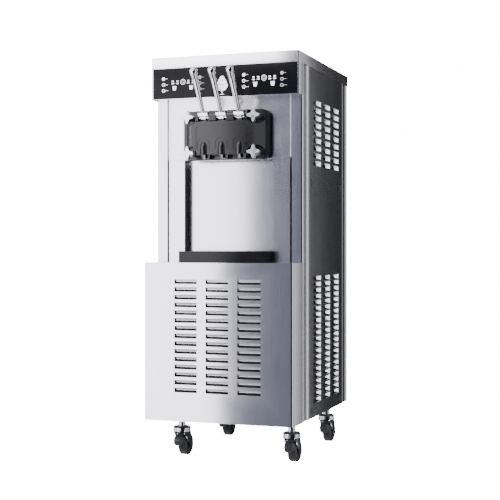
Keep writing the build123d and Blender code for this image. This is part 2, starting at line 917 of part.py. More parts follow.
def make_hoppers():
    """Two deep pans that hang by their rims in the roof's cut-outs."""
    with BuildPart() as hoppers:
        for side in sides.values():
            low_x, high_x = hopper_span(side)
            middle = ((low_x + high_x) / 2, (hopper_front + hopper_back) / 2)
            width = high_x - low_x
            length = hopper_back - hopper_front
            rim = 2 * hopper_rim
            for plane, grow, height in (
                (Plane.XY.offset(hopper_floor), 0, hopper_depth + hopper_wall),
                (Plane.XY.offset(roof_top), rim, hopper_wall),
            ):
                with BuildSketch(plane):
                    with Locations(middle):
                        RectangleRounded(width + grow, length + grow, hopper_corner_radius)
                extrude(amount=height)
            with BuildSketch(Plane.XY.offset(hopper_floor + hopper_wall)):
                with Locations(middle):
                    RectangleRounded(
                        width - 2 * hopper_wall, length - 2 * hopper_wall,
                        hopper_corner_radius - hopper_wall,
                    )
            extrude(amount=hopper_depth + 1, mode=Mode.SUBTRACT)
            x, y = tube_place(side)
            hole = tube_radius + joint_gap
            rod((x, y, hopper_floor - 1), (x, y, hopper_floor + 10), hole, mode=Mode.SUBTRACT)
    keep(hoppers.part, "hoppers")


def make_feed_tubes():
    """A tube from each hopper's floor down to the top of its cylinder."""
    with BuildPart() as tubes:
        for side in sides.values():
            x, y = tube_place(side)
            low = (x, y, cylinder_height + cylinder_radius + joint_gap)
            high = (x, y, hopper_floor + hopper_wall + 15)
            rod(low, high, tube_radius)
            rod(low, high, tube_radius - tube_wall, mode=Mode.SUBTRACT)
    keep(tubes.part, "feed_tubes")


def make_hopper_lid(side, node):
    """A flat lid with a skirt inside the hopper's mouth and a bow handle."""
    low_x, high_x = hopper_span(side)
    seat = roof_top + hopper_wall + joint_gap
    rim = hopper_rim - joint_gap
    skirt = hopper_wall + 1
    middle = ((low_x + high_x) / 2, (hopper_front + hopper_back) / 2)
    width = high_x - low_x
    length = hopper_back - hopper_front
    handle_half = width / 4
    top = seat + hopper_wall + lid_handle_height
    bar = lid_handle_height / 6
    with BuildPart() as lid:
        with BuildSketch(Plane.XY.offset(seat)):
            with Locations(middle):
                RectangleRounded(width + 2 * rim, length + 2 * rim, hopper_corner_radius)
        extrude(amount=hopper_wall)
        with BuildSketch(Plane.XY.offset(seat)):
            with Locations(middle):
                RectangleRounded(width - 2 * skirt, length - 2 * skirt, hopper_corner_radius - skirt)
                RectangleRounded(
                    width - 2 * skirt - 2 * hopper_wall, length - 2 * skirt - 2 * hopper_wall,
                    hopper_corner_radius - skirt - hopper_wall, mode=Mode.SUBTRACT,
                )
        extrude(amount=-lid_thickness)
        for x in (middle[0] - handle_half, middle[0] + handle_half):
            rod((x, middle[1], seat + hopper_wall), (x, middle[1], top - bar), bar)
            with Locations((x, middle[1], top - bar)):
                Sphere(bar)
        start = (middle[0] - handle_half, middle[1], top - bar)
        rod(start, (middle[0] + handle_half, middle[1], top - bar), bar)
    keep(lid.part, node)


def make_cylinders():
    """Two freezing cylinders, open to the dispenser, each with a rear wall and a bearing."""
    start_y = front - cylinder_front
    end_y = start_y + cylinder_length
    with BuildPart() as cylinders:
        for side in sides.values():
            x = side * outlet_spacing
            rod((x, start_y, cylinder_height), (x, end_y, cylinder_height), cylinder_radius)
            bearing_end = (x, end_y + 20, cylinder_height)
            rod((x, end_y, cylinder_height), bearing_end, 2.2 * shaft_radius)
            inside_end = (x, end_y - 2 * cylinder_wall, cylinder_height)
            inside = cylinder_radius - cylinder_wall
            rod((x, start_y - 1, cylinder_height), inside_end, inside, mode=Mode.SUBTRACT)
            bore = shaft_radius + running_fit
            start = (x, start_y, cylinder_height)
            rod(start, (x, end_y + 21, cylinder_height), bore, mode=Mode.SUBTRACT)
            tube_y = tube_place(side)[1]
            top = (x, tube_y, cylinder_height + cylinder_radius + 1)
            rod((x, tube_y, cylinder_height), top, tube_radius - tube_wall, mode=Mode.SUBTRACT)
    keep(cylinders.part, "freezing_cylinders")


def pulley_start(side):
    """Front of a beater's pulley. The left and right belts run in two planes."""
    offset = 0 if side < 0 else belt_spacing
    return motor_pulley_front + offset


def make_beater(side, node):
    """A dasher: shaft, spokes and two scraper blades, with its pulley as a separate piece."""
    x = side * outlet_spacing
    start_y = front + 10
    end_y = front - cylinder_front + cylinder_length - 2 * cylinder_wall - 5
    reach = cylinder_radius - cylinder_wall - 1
    pulley_y = pulley_start(side)
    with BuildPart() as beater:
        shaft_end = (x, pulley_y + belt_width + 4, cylinder_height)
        rod((x, start_y, cylinder_height), shaft_end, shaft_radius)
        for index in range(5):
            y = start_y + 6 + index * (end_y - start_y - 12) / 4
            block((x - 5, x + 5), (y - 3, y + 3), (cylinder_height - reach + 4, cylinder_height + reach - 4))
        for way in (-1, 1):
            z_span = sorted((cylinder_height + way * (reach - 10), cylinder_height + way * (reach - 1)))
            block((x - 6, x + 2), (start_y, end_y), z_span)
    with BuildPart() as pulley:
        y = pulley_y - 2
        end = (x, y + belt_width + 4, cylinder_height)
        rod((x, y, cylinder_height), end, beater_pulley_radius)
        for edge in (y, y + belt_width + 2.5):
            rod((x, edge, cylinder_height), (x, edge + 1.5, cylinder_height), beater_pulley_radius + 3)
        bore = shaft_radius + running_fit
        rod((x, y - 1, cylinder_height), (x, y + 40, cylinder_height), bore, Mode.SUBTRACT)
    keep(Compound(children=[*beater.solids(), *pulley.solids()]), node)


# ---- Drive ----------------------------------------------------------------------------------

def make_drive_motor():
    """The motor that turns both dashers, on a foot on the shelf."""
    start_y = front + motor_back - motor_length
    end_y = front + motor_back
    with BuildPart() as motor:
        rod((0, start_y, motor_height), (0, end_y, motor_height), motor_radius)
        fillet(motor.edges().filter_by(GeomType.CIRCLE), 8)
        foot_half = 0.8 * motor_radius
        block((-foot_half, foot_half), (start_y + 30, end_y - 30), (shelf_height, motor_height - 50))
        bore = shaft_radius + running_fit
        rod((0, end_y - 45, motor_height), (0, end_y + 1, motor_height), bore, mode=Mode.SUBTRACT)
    keep(motor.part, "drive_motor")


def make_motor_pulley():
    """The motor's shaft with a pulley for two belts."""
    y = motor_pulley_front - 2
    length = belt_spacing + belt_width + 4
    with BuildPart() as pulley:
        rod((0, front + motor_back - 44, motor_height), (0, y + length, motor_height), shaft_radius)
        rod((0, y, motor_height), (0, y + length, motor_height), motor_pulley_radius)
        for edge in (y, y + length - 1.5):
            rod((0, edge, motor_height), (0, edge + 1.5, motor_height), motor_pulley_radius + 3)
    keep(pulley.part, "motor_pulley")


def belt_loop(plane, x, grow):
    """The stretched outline round the motor's pulley and one dasher's pulley."""
    with BuildSketch(plane, mode=Mode.PRIVATE) as loop:
        with Locations((0, motor_height)):
            Circle(motor_pulley_radius + grow)
        with Locations((x, cylinder_height)):
            Circle(beater_pulley_radius + grow)
        make_hull()
    return loop.sketch


def make_drive_belts():
    with BuildPart() as belts:
        for side in sides.values():
            x = side * outlet_spacing
            plane = facing_front(pulley_start(side) + belt_width)
            extrude(belt_loop(plane, x, belt_play + belt_thickness), amount=belt_width)
        for side in sides.values():
            x = side * outlet_spacing
            plane = facing_front(pulley_start(side) + belt_width)
            extrude(belt_loop(plane, x, belt_play), amount=belt_width, mode=Mode.SUBTRACT)
    keep(belts.part, "drive_belts")


# ---- Cooling --------------------------------------------------------------------------------

def make_compressor():
    """A domed can on a footed plate."""
    x = -compressor_side
    y = rear - compressor_rear_margin
    foot = 12
    with BuildPart() as compressor:
        rod((x, y, base_top + foot), (x, y, base_top + foot + compressor_height), compressor_radius)
        fillet(compressor.edges().filter_by(GeomType.CIRCLE), compressor_radius / 3)
        plate = compressor_radius + 8
        block((x - plate, x + plate), (y - plate, y + plate), (base_top + foot - 1, base_top + foot + 3))
        for dx in (12 - plate, plate - 12):
            for dy in (12 - plate, plate - 12):
                rod((x + dx, y + dy, base_top), (x + dx, y + dy, base_top + foot), 10)
    keep(compressor.part, "compressor")


def make_condenser():
    """A finned block in a frame, behind the front louvres."""
    half = half_body - condenser_side_margin
    start = front + condenser_front
    y_span = (start, start + condenser_thickness)
    with BuildPart() as condenser:
        block((-half, half), y_span, (base_top, base_top + condenser_height))
        with Locations((0, start, base_top + condenser_height / 2)):
            with GridLocations(12, 1, 28, 1):
                Box(6, 12, condenser_height - 30, mode=Mode.SUBTRACT)
    keep(condenser.part, "condenser")


def make_fan_motor():
    """The fan's motor on four arms, carried by the shroud behind the condenser."""
    half = half_body - condenser_side_margin
    start = front + condenser_front + condenser_thickness
    z = base_top + condenser_height / 2
    motor_start = start + 45
    motor_end = motor_start + 55
    opening = fan_radius + fan_play
    with BuildPart() as fan_motor:
        block((-half, half), (start, start + shroud_sheet), (base_top, base_top + condenser_height))
        rod((0, start - 1, z), (0, start + shroud_sheet + 1, z), opening, mode=Mode.SUBTRACT)
        rod((0, motor_start, z), (0, motor_end, z), fan_motor_radius)
        for way in (-1, 1):
            arm_x = sorted((way * (fan_motor_radius - 5), way * (opening + 20)))
            block(arm_x, (motor_start + 6, motor_start + 14), (z - 10, z + 10))
            post_x = sorted((way * (opening + 8), way * (opening + 20)))
            block(post_x, (start, motor_start + 14), (z - 10, z + 10))
        bore = fan_shaft_radius + running_fit
        rod((0, motor_start - 1, z), (0, motor_start + 30, z), bore, mode=Mode.SUBTRACT)
    keep(fan_motor.part, "fan_motor")


def make_condenser_fan():
    """Pitched blades on a hub, with the shaft that turns in the fan motor."""
    start = front + condenser_front + condenser_thickness
    z = base_top + condenser_height / 2
    hub_y = (start + 12, start + 38)
    with BuildPart() as fan:
        rod((0, hub_y[0], z), (0, hub_y[1], z), fan_hub_radius)
        rod((0, hub_y[1], z), (0, start + 73, z), fan_shaft_radius)
        hub = Plane(origin=(0, sum(hub_y) / 2, z), x_dir=(1, 0, 0), z_dir=(0, -1, 0))
        blade_length = fan_radius - fan_hub_radius
        with Locations(hub.location):
            with PolarLocations(fan_radius - blade_length / 2 - 2, fan_blades):
                Box(blade_length, 52, 2.5, rotation=(24, 0, 0))
    keep(fan.part, "condenser_fan")


def make_pipes():
    """The compressor's discharge pipe, and a riser from the condenser to each cylinder."""
    top = base_top + condenser_height + joint_gap
    riser_y = front + recess_depth + 13
    pipe_x = -compressor_side
    compressor_y = rear - compressor_rear_margin
    high = base_top + 12 + compressor_height + 150
    bend = 25
    with BuildPart() as pipes:
        with BuildLine(mode=Mode.PRIVATE) as route:
            FilletPolyline(
                (pipe_x, compressor_y, base_top + 12 + compressor_height + joint_gap),
                (pipe_x, compressor_y, high),
                (pipe_x, front + condenser_front + condenser_thickness / 2, high),
                (pipe_x, front + condenser_front + condenser_thickness / 2, top),
                radius=bend,
            )
        start = Plane(origin=route.line @ 0, z_dir=route.line % 0)
        with BuildSketch(start, mode=Mode.PRIVATE) as section:
            Circle(pipe_radius)
        sweep(section.sketch, path=route.line)
        for side in sides.values():
            x = side * outlet_spacing
            low = (x, riser_y, top)
            rod(low, (x, riser_y, cylinder_height - cylinder_radius - joint_gap), pipe_radius)
    keep(pipes.part, "refrigerant_pipes")


def make_cable_gland():
    """A gland under the rear of the base, where the supply lead comes out."""
    y = rear - post_sheet - base_beam / 2
    with BuildPart() as gland:
        rod((0, y, cabinet_bottom - gland_drop), (0, y, cabinet_bottom), gland_radius)
        with BuildSketch(Plane.XY.offset(cabinet_bottom - 7)):
            with Locations((0, y)):
                RegularPolygon(1.35 * gland_radius, 6)
        extrude(amount=7)
        rod((0, y, cabinet_bottom - gland_drop - 1), (0, y, cabinet_bottom - 4), 4.5, mode=Mode.SUBTRACT)
    keep(gland.part, "cable_gland")


# ---- Casters --------------------------------------------------------------------------------

def make_caster_fork(x, y, node):
    """Stem, swivel head, two plates, the wheel's axle and the pedal's pin."""
    axle_y = y + caster_trail
    inner = wheel_width / 2 + fork_gap
    pin = pedal_pin(y)
    with BuildPart() as fork:
        rod((x, y, swivel_head_bottom), (x, y, swivel_head_top), swivel_head_radius)
        fillet(fork.edges().filter_by(GeomType.CIRCLE).sort_by(Axis.Z)[-1], 5)
        rod((x, y, swivel_head_top), (x, y, base_top - 5), stem_radius)
        for plate_x in (x - inner - fork_plate, x + inner):
            with BuildSketch(facing_right(plate_x)):
                with Locations((axle_y, wheel_radius)):
                    Circle(2 * wheel_axle_radius)
                with Locations((y, swivel_head_bottom + 3)):
                    Rectangle(1.6 * swivel_head_radius, 6)
                make_hull()
            extrude(amount=fork_plate)
        reach = inner + fork_plate
        rod((x - reach, axle_y, wheel_radius), (x + reach, axle_y, wheel_radius), wheel_axle_radius)
        rod((x - reach, *pin), (x + reach, *pin), pin_radius)
    keep(fork.part, node)


def pedal_pin(y):
    """Where the brake pedal's pin crosses the fork, as Y and Z."""
    return y - 5, swivel_head_bottom - 9


def make_caster_wheel(x, y, node):
    """A solid wheel with a rounded tread and a dished hub."""
    axle_y = y + caster_trail
    half = wheel_width / 2
    with BuildPart() as wheel:
        rod((x - half, axle_y, wheel_radius), (x + half, axle_y, wheel_radius), wheel_radius)
        fillet(wheel.edges().filter_by(GeomType.CIRCLE), 6)
        for side in sides.values():
            outer_x = x + side * half
            inner_x = outer_x - side * 5
            dish = 0.68 * wheel_radius
            rod((outer_x + side, axle_y, wheel_radius), (inner_x, axle_y, wheel_radius), dish, Mode.SUBTRACT)
            rod((outer_x, axle_y, wheel_radius), (inner_x - side, axle_y, wheel_radius), 12)
        bore = wheel_axle_radius + running_fit
        rod((x - half - 1, axle_y, wheel_radius), (x + half + 1, axle_y, wheel_radius), bore, Mode.SUBTRACT)
    keep(wheel.part, node)


def make_brake_pedal(x, y, node):
    """A round-nosed pedal in front of the wheel, on an arm that turns on the fork's pin."""
    pin_y, pin_z = pedal_pin(y)
    nose_y = pin_y - pedal_nose_forward
    nose_z = pin_z - pedal_nose_drop
    half = wheel_width / 2 + pedal_overlap
    boss = pin_radius + 2.5
    with BuildPart() as pedal:
        rod((x - half, nose_y, nose_z), (x + half, nose_y, nose_z), pedal_nose_radius)
        fillet(pedal.edges().filter_by(GeomType.CIRCLE), pedal_nose_round)
        with BuildSketch(facing_right(x - pedal_arm_half), mode=Mode.PRIVATE) as arm:
            with Locations((pin_y, pin_z)):
                Circle(boss)
            with Locations((nose_y, nose_z)):
                Circle(pedal_nose_radius / 2)
            make_hull()
        extrude(arm.sketch, amount=2 * pedal_arm_half)
        bore = pin_radius + running_fit
        rod((x - half, pin_y, pin_z), (x + half, pin_y, pin_z), bore, Mode.SUBTRACT)
    keep(pedal.part, node)


# ---- All the pieces -------------------------------------------------------------------------

make_chassis()
make_posts(front, 1, front_post_depth, post_bead_width, "front_posts")
make_posts(rear, -1, rear_post_depth, post_bead_width, "rear_posts")
for side_name, side_sign in sides.items():
    make_side_panel(side_sign, f"side_panel_{side_name}")
    make_hopper_lid(side_sign, f"hopper_lid_{side_name}")
    make_beater(side_sign, f"beater_{side_name}")
    for knob_z, level in zip(knob_heights, ("lower", "upper")):
        make_star_knob(side_sign * knob_side, knob_z, f"star_knob_{level}_{side_name}")
    for caster_y, row_name in zip(caster_rows, ("front", "rear")):
        place = f"{row_name}_{side_name}"
        make_caster_fork(side_sign * caster_x, caster_y, f"caster_fork_{place}")
        make_caster_wheel(side_sign * caster_x, caster_y, f"caster_wheel_{place}")
        make_brake_pedal(side_sign * caster_x, caster_y, f"brake_pedal_{place}")
for outlet_x, outlet_name in zip(outlets, ("left", "middle", "right")):
    make_lever(outlet_x, f"lever_{outlet_name}")
    make_plunger(outlet_x, f"plunger_{outlet_name}")
make_panel_screws()
make_back_panel()
make_roof()
make_control_housing()
make_control_panel()
make_control_board()
make_front_panel()
make_splash_panel()
make_lower_cover()
make_dispenser_body()
make_dispenser_cover()
make_gaskets()
make_lever_pin()
make_studs()
make_nozzles()
make_drip_tray()
make_drip_grid()
make_hoppers()
make_feed_tubes()
make_cylinders()
make_drive_motor()
make_motor_pulley()
make_drive_belts()
make_compressor()
make_condenser()
make_fan_motor()
make_condenser_fan()
make_pipes()
make_cable_gland()
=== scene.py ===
import json
import math

import bmesh
import bpy
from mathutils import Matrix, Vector


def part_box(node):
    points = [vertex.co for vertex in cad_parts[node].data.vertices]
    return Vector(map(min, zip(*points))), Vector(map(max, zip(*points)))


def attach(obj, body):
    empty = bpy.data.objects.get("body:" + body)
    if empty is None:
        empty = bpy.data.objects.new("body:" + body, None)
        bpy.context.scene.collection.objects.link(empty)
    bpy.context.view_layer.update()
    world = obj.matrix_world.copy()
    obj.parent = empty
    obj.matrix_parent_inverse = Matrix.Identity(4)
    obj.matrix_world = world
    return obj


# The looks of a floor-standing soft-serve machine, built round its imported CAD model.
# Metres, +Z up, the outlets face -Y.

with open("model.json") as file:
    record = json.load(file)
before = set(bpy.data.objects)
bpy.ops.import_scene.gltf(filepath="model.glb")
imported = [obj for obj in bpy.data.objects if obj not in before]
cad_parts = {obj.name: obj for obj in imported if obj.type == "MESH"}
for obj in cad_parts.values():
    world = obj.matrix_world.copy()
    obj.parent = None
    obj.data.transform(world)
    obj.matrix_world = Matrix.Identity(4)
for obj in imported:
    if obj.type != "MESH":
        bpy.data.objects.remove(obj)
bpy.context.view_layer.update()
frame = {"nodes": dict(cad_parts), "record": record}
nodes = frame["nodes"]

# ---- Camera and light -----------------------------------------------------------------------

CAMERA_AT = (1.3477, -3.7883, 0.7285)
CAMERA_AZIMUTH = 19.534
CAMERA_PITCH = -0.119
CAMERA_LENS = 81.54
CAMERA_SENSOR = 36.0


def make_camera():
    data = bpy.data.cameras.new("camera")
    data.lens = CAMERA_LENS
    data.sensor_width = CAMERA_SENSOR
    camera = bpy.data.objects.new("camera", data)
    camera.location = CAMERA_AT
    camera.rotation_euler = (math.radians(90 + CAMERA_PITCH), 0, math.radians(CAMERA_AZIMUTH))
    bpy.context.scene.collection.objects.link(camera)
    bpy.context.scene.camera = camera


# Brightness round the room: 0 and 1 look along -Y, 0.25 along -X, 0.5 along +Y, 0.75 along +X.
WORLD_STOPS = (
    (0.00, (0.14, 0.15, 0.20)),
    (0.05, (0.16, 0.17, 0.23)),
    (0.08, (0.60, 0.60, 0.65)),
    (0.20, (1.70, 1.70, 1.75)),
    (0.38, (1.30, 1.30, 1.35)),
    (0.45, (0.20, 0.20, 0.22)),
    (0.50, (0.02, 0.02, 0.023)),
    (0.60, (0.03, 0.03, 0.033)),
    (0.67, (0.50, 0.50, 0.52)),
    (0.75, (1.30, 1.30, 1.35)),
    (0.80, (1.10, 1.10, 1.15)),
    (0.84, (0.01, 0.01, 0.012)),
    (0.97, (0.01, 0.01, 0.014)),
    (1.00, (0.14, 0.15, 0.20)),
)
# How bright the room is where the camera sees it directly. It burns out to plain white.
BACKDROP = 16.0


def make_world():
    """A white room with dark stretches that the side panels and the polished pieces reflect."""
    world = bpy.data.worlds.new("studio")
    bpy.context.scene.world = world
    world.use_nodes = True
    tree = world.node_tree
    tree.nodes.clear()
    coords = tree.nodes.new("ShaderNodeTexCoord")
    split = tree.nodes.new("ShaderNodeSeparateXYZ")
    tree.links.new(coords.outputs["Generated"], split.inputs[0])
    turn = math_node(tree, "ARCTAN2", split.outputs["X"], split.outputs["Y"])
    share = math_node(tree, "MULTIPLY_ADD", turn, 0.5 / math.pi, 0.5)
    ramp = tree.nodes.new("ShaderNodeValToRGB")
    ramp.color_ramp.interpolation = "EASE"
    set_ramp(ramp, WORLD_STOPS)
    tree.links.new(share, ramp.inputs[0])
    room = tree.nodes.new("ShaderNodeBackground")
    room.inputs["Strength"].default_value = 1.0
    tree.links.new(ramp.outputs["Color"], room.inputs["Color"])
    white = tree.nodes.new("ShaderNodeBackground")
    white.inputs["Color"].default_value = (1, 1, 1, 1)
    white.inputs["Strength"].default_value = BACKDROP
    path = tree.nodes.new("ShaderNodeLightPath")
    mix = tree.nodes.new("ShaderNodeMixShader")
    tree.links.new(path.outputs["Is Camera Ray"], mix.inputs[0])
    tree.links.new(room.outputs[0], mix.inputs[1])
    tree.links.new(white.outputs[0], mix.inputs[2])
    out = tree.nodes.new("ShaderNodeOutputWorld")
    tree.links.new(mix.outputs[0], out.inputs["Surface"])


def make_area_light(name, at, target, size, power, colour=(1, 1, 1), mirrored=True):
    data = bpy.data.lights.new(name, "AREA")
    data.shape = "RECTANGLE"
    data.size, data.size_y = size
    data.energy = power
    data.color = colour
    light = bpy.data.objects.new(name, data)
    light.visible_camera = False
    light.visible_glossy = mirrored
    light.location = at
    light.rotation_euler = (Vector(target) - Vector(at)).to_track_quat("-Z", "Y").to_euler()
    bpy.context.scene.collection.objects.link(light)


COOL_WHITE = (0.95, 0.93, 1.0)


def make_lights():
    """Cards near the front and the side that the steel mirrors, a lamp to the right, and a top card."""
    make_area_light(
        "front_card", (-0.64, -0.90, 0.70), (-0.58, 0, 0.70), (0.84, 1.45), 15, COOL_WHITE
    )
    make_area_light(
        "brow_card", (-0.42, -0.90, 1.62), (-0.40, 0, 1.62), (0.9, 0.34), 6, (0.96, 0.94, 1.0)
    )
    make_area_light("side_card", (1.00, 1.00, 0.75), (0.80, 0, 0.75), (0.6, 2.0), 3)
    make_area_light("right_card", (3, -3, 1.2), (0.2, 0, 0.7), (1, 1), 550, mirrored=False)
    make_area_light("top_card", (-0.3, -0.4, 2.4), (0, 0, 1.3), (1.2, 1.2), 8)


# ---- Material helpers -----------------------------------------------------------------------

# Most of a noise's values lie between these two.
NOISE_LOW = 0.3
NOISE_HIGH = 0.7
# How far noise moves a roughness, as factors of it.
EVEN_WEAR = (0.85, 1.15)
HAZY_WEAR = (0.7, 1.4)


def math_node(tree, operation, *values):
    """A maths node with numbers or sockets as its inputs. Gives its output socket."""
    node = tree.nodes.new("ShaderNodeMath")
    node.operation = operation
    for index, value in enumerate(values):
        if isinstance(value, (int, float)):
            node.inputs[index].default_value = value
        else:
            tree.links.new(value, node.inputs[index])
    return node.outputs[0]


def set_ramp(ramp, stops):
    elements = ramp.color_ramp.elements
    while len(elements) < len(stops):
        elements.new(0.5)
    for element, (place, colour) in zip(elements, stops):
        element.position = place
        element.color = (*colour, 1)


def start_material(name, colour, metallic, roughness):
    material = bpy.data.materials.new(name)
    material.use_nodes = True
    shader = material.node_tree.nodes["Principled BSDF"]
    shader.inputs["Base Color"].default_value = (*colour, 1)
    shader.inputs["Metallic"].default_value = metallic
    shader.inputs["Roughness"].default_value = roughness
    return material, material.node_tree, shader


def noise(tree, scale, stretch=(1, 1, 1), detail=3.0):
    """Noise in the object's own space, stretched along the axes with small factors."""
    coords = tree.nodes.new("ShaderNodeTexCoord")
    mapping = tree.nodes.new("ShaderNodeMapping")
    mapping.inputs["Scale"].default_value = stretch
    texture = tree.nodes.new("ShaderNodeTexNoise")
    texture.inputs["Scale"].default_value = scale
    texture.inputs["Detail"].default_value = detail
    tree.links.new(coords.outputs["Object"], mapping.inputs["Vector"])
    tree.links.new(mapping.outputs["Vector"], texture.inputs["Vector"])
    return texture.outputs["Fac"]


def vary_roughness(tree, shader, value, roughness, wear):
    """Lets noise move the roughness between two factors of it."""
    node = tree.nodes.new("ShaderNodeMapRange")
    node.inputs["From Min"].default_value = NOISE_LOW
    node.inputs["From Max"].default_value = NOISE_HIGH
    node.inputs["To Min"].default_value = roughness * wear[0]
    node.inputs["To Max"].default_value = roughness * wear[1]
    tree.links.new(value, node.inputs["Value"])
    tree.links.new(node.outputs["Result"], shader.inputs["Roughness"])


def add_bump(tree, shader, height, distance, strength):
    bump = tree.nodes.new("ShaderNodeBump")
    bump.inputs["Distance"].default_value = distance
    bump.inputs["Strength"].default_value = strength
    tree.links.new(height, bump.inputs["Height"])
    tree.links.new(bump.outputs["Normal"], shader.inputs["Normal"])


def vary_colour(tree, shader, value, colour, change):
    """Lets noise move the base colour a little either way."""
    ramp = tree.nodes.new("ShaderNodeValToRGB")
    darker = tuple(c * (1 - change) for c in colour)
    lighter = tuple(min(1, c * (1 + change)) for c in colour)
    set_ramp(ramp, ((NOISE_LOW, darker), (NOISE_HIGH, lighter)))
    tree.links.new(value, ramp.inputs[0])
    tree.links.new(ramp.outputs["Color"], shader.inputs["Base Color"])


BRUSH_SCALE = 900
BRUSH_DEPTH = 0.00003
# The brush lines' share of the changes in roughness. The rest comes from wider patches.
LINE_SHARE = 0.6


def brushed_metal(name, colour, roughness, grain=(1, 1, 0.012), strength=0.12):
    """Sheet steel with fine brush lines, and slight patches in its polish."""
    material, tree, shader = start_material(name, colour, 1.0, roughness)
    lines = noise(tree, BRUSH_SCALE, grain, detail=2)
    patches = noise(tree, 5, detail=2)
    vary_colour(tree, shader, lines, colour, change=0.05)
    patchy = math_node(tree, "MULTIPLY", patches, 1 - LINE_SHARE)
    mixed = math_node(tree, "MULTIPLY_ADD", lines, LINE_SHARE, patchy)
    vary_roughness(tree, shader, mixed, roughness, EVEN_WEAR)
    add_bump(tree, shader, lines, BRUSH_DEPTH, strength)
    return material


POLISH_SCALE = 260
POLISH_DEPTH = 0.00002


def polished_metal(name, colour, roughness, change=0.03):
    """Plated or polished metal with a little haze."""
    material, tree, shader = start_material(name, colour, 1.0, roughness)
    haze = noise(tree, 60)
    vary_colour(tree, shader, haze, colour, change)
    vary_roughness(tree, shader, haze, roughness, HAZY_WEAR)
    add_bump(tree, shader, noise(tree, POLISH_SCALE), POLISH_DEPTH, strength=0.02)
    return material


GRAIN_SCALE = 1400
GRAIN_DEPTH = 0.00006


def moulded_plastic(name, colour, roughness, grain_scale=GRAIN_SCALE, strength=0.15, shine=0.35):
    """Moulded or machined plastic with a fine surface texture."""
    material, tree, shader = start_material(name, colour, 0.0, roughness)
    grain = noise(tree, grain_scale)
    wear = noise(tree, 14)
    vary_colour(tree, shader, wear, colour, change=0.12)
    vary_roughness(tree, shader, wear, roughness, EVEN_WEAR)
    add_bump(tree, shader, grain, GRAIN_DEPTH, strength)
    shader.inputs["Specular IOR Level"].default_value = shine
    return material


PEEL_SCALE = 500
PEEL_DEPTH = 0.0001


def painted_metal(name, colour, roughness):
    """Painted or cast metal with an orange-peel surface."""
    material, tree, shader = start_material(name, colour, 0.0, roughness)
    vary_colour(tree, shader, noise(tree, 30), colour, change=0.15)
    add_bump(tree, shader, noise(tree, PEEL_SCALE), PEEL_DEPTH, strength=0.25)
    return material


def glowing_print(name, colour, strength):
    """Pale printed symbols with a painted glow: a little emission brightens them."""
    material, tree, shader = start_material(name, colour, 0.0, 0.5)
    vary_colour(tree, shader, noise(tree, 200), colour, change=0.05)
    shader.inputs["Emission Color"].default_value = (*colour, 1)
    shader.inputs["Emission Strength"].default_value = strength
    return material


def make_materials():
    """One material for each of the record's material slots."""
    steel = (0.80, 0.79, 0.84)
    return {
        "brushed_stainless": brushed_metal("brushed_stainless", steel, 0.19),
        "side_stainless": brushed_metal("side_stainless", (0.50, 0.51, 0.52), 0.2, strength=0.05),
        "zinc_steel": painted_metal("zinc_steel", (0.33, 0.34, 0.35), 0.5),
        "black_plastic": moulded_plastic("black_plastic", (0.014, 0.014, 0.016), 0.38),
        "gloss_black": moulded_plastic(
            "gloss_black", (0.003, 0.003, 0.004), 0.16, strength=0.03, shine=0.13
        ),
        "circuit_board": moulded_plastic("circuit_board", (0.02, 0.16, 0.06), 0.5),
        "black_acetal": moulded_plastic(
            "black_acetal", (0.003, 0.003, 0.004), 0.22, strength=0.05, shine=0.53
        ),
        "seal_rubber": moulded_plastic("seal_rubber", (0.5, 0.5, 0.48), 0.7),
        "polished_steel": polished_metal("polished_steel", (0.8, 0.8, 0.82), 0.14),
        "clear_outlet": polished_metal("clear_outlet", (0.12, 0.12, 0.13), 0.14),
        "black_tray": moulded_plastic(
            "black_tray", (0.003, 0.003, 0.004), 0.22, strength=0.1, shine=0.24
        ),
        "painted_iron": painted_metal("painted_iron", (0.03, 0.03, 0.035), 0.45),
        "cast_pulley": polished_metal("cast_pulley", (0.35, 0.35, 0.36), 0.45, 0.15),
        "belt_rubber": moulded_plastic("belt_rubber", (0.02, 0.02, 0.02), 0.75),
        "fin_aluminium": brushed_metal("fin_aluminium", (0.6, 0.61, 0.63), 0.4),
        "pipe_copper": polished_metal("pipe_copper", (0.72, 0.38, 0.24), 0.28, 0.12),
        "dasher_steel": brushed_metal("dasher_steel", (0.62, 0.63, 0.65), 0.3, (1, 0.02, 1)),
        "chrome": polished_metal("chrome", (0.74, 0.74, 0.76), 0.03),
        "white_plunger": moulded_plastic("white_plunger", (0.75, 0.75, 0.75), 0.35),
        "knob_silver": polished_metal("knob_silver", (0.78, 0.79, 0.82), 0.3, 0.06),
        "caster_chrome": polished_metal("caster_chrome", (0.72, 0.73, 0.76), 0.16),
        "caster_rubber": moulded_plastic("caster_rubber", (0.012, 0.012, 0.014), 0.42),
    }


# ---- Finish of the CAD nodes ----------------------------------------------------------------

# Points closer than this are one point, and edges sharper than this stay sharp, in degrees.
WELD_REACH = 0.000002
SHARP_EDGE = 28
# The black part of a caster's head lies above this height and outside this radius.
HEAD_BLACK_FROM = 0.1005
STEM_REACH = 0.0128
RIM_DEPTH = 0.0005
# The bent edges of a side panel reach this far in, and are no louvre ends.
HEM_MARGIN = 0.03
# How squarely a louvre's end wall faces along the panel, as a cosine.
END_FACING = 0.95


def finish_node(node, material):
    """Gives a CAD node its material, and smooth shading between its true edges."""
    mesh = node.data
    mesh.materials.clear()
    mesh.materials.append(material)
    mesh.shade_smooth()
    weld = node.modifiers.new("weld", "WELD")
    weld.merge_threshold = WELD_REACH
    split = node.modifiers.new("split", "EDGE_SPLIT")
    split.split_angle = math.radians(SHARP_EDGE)


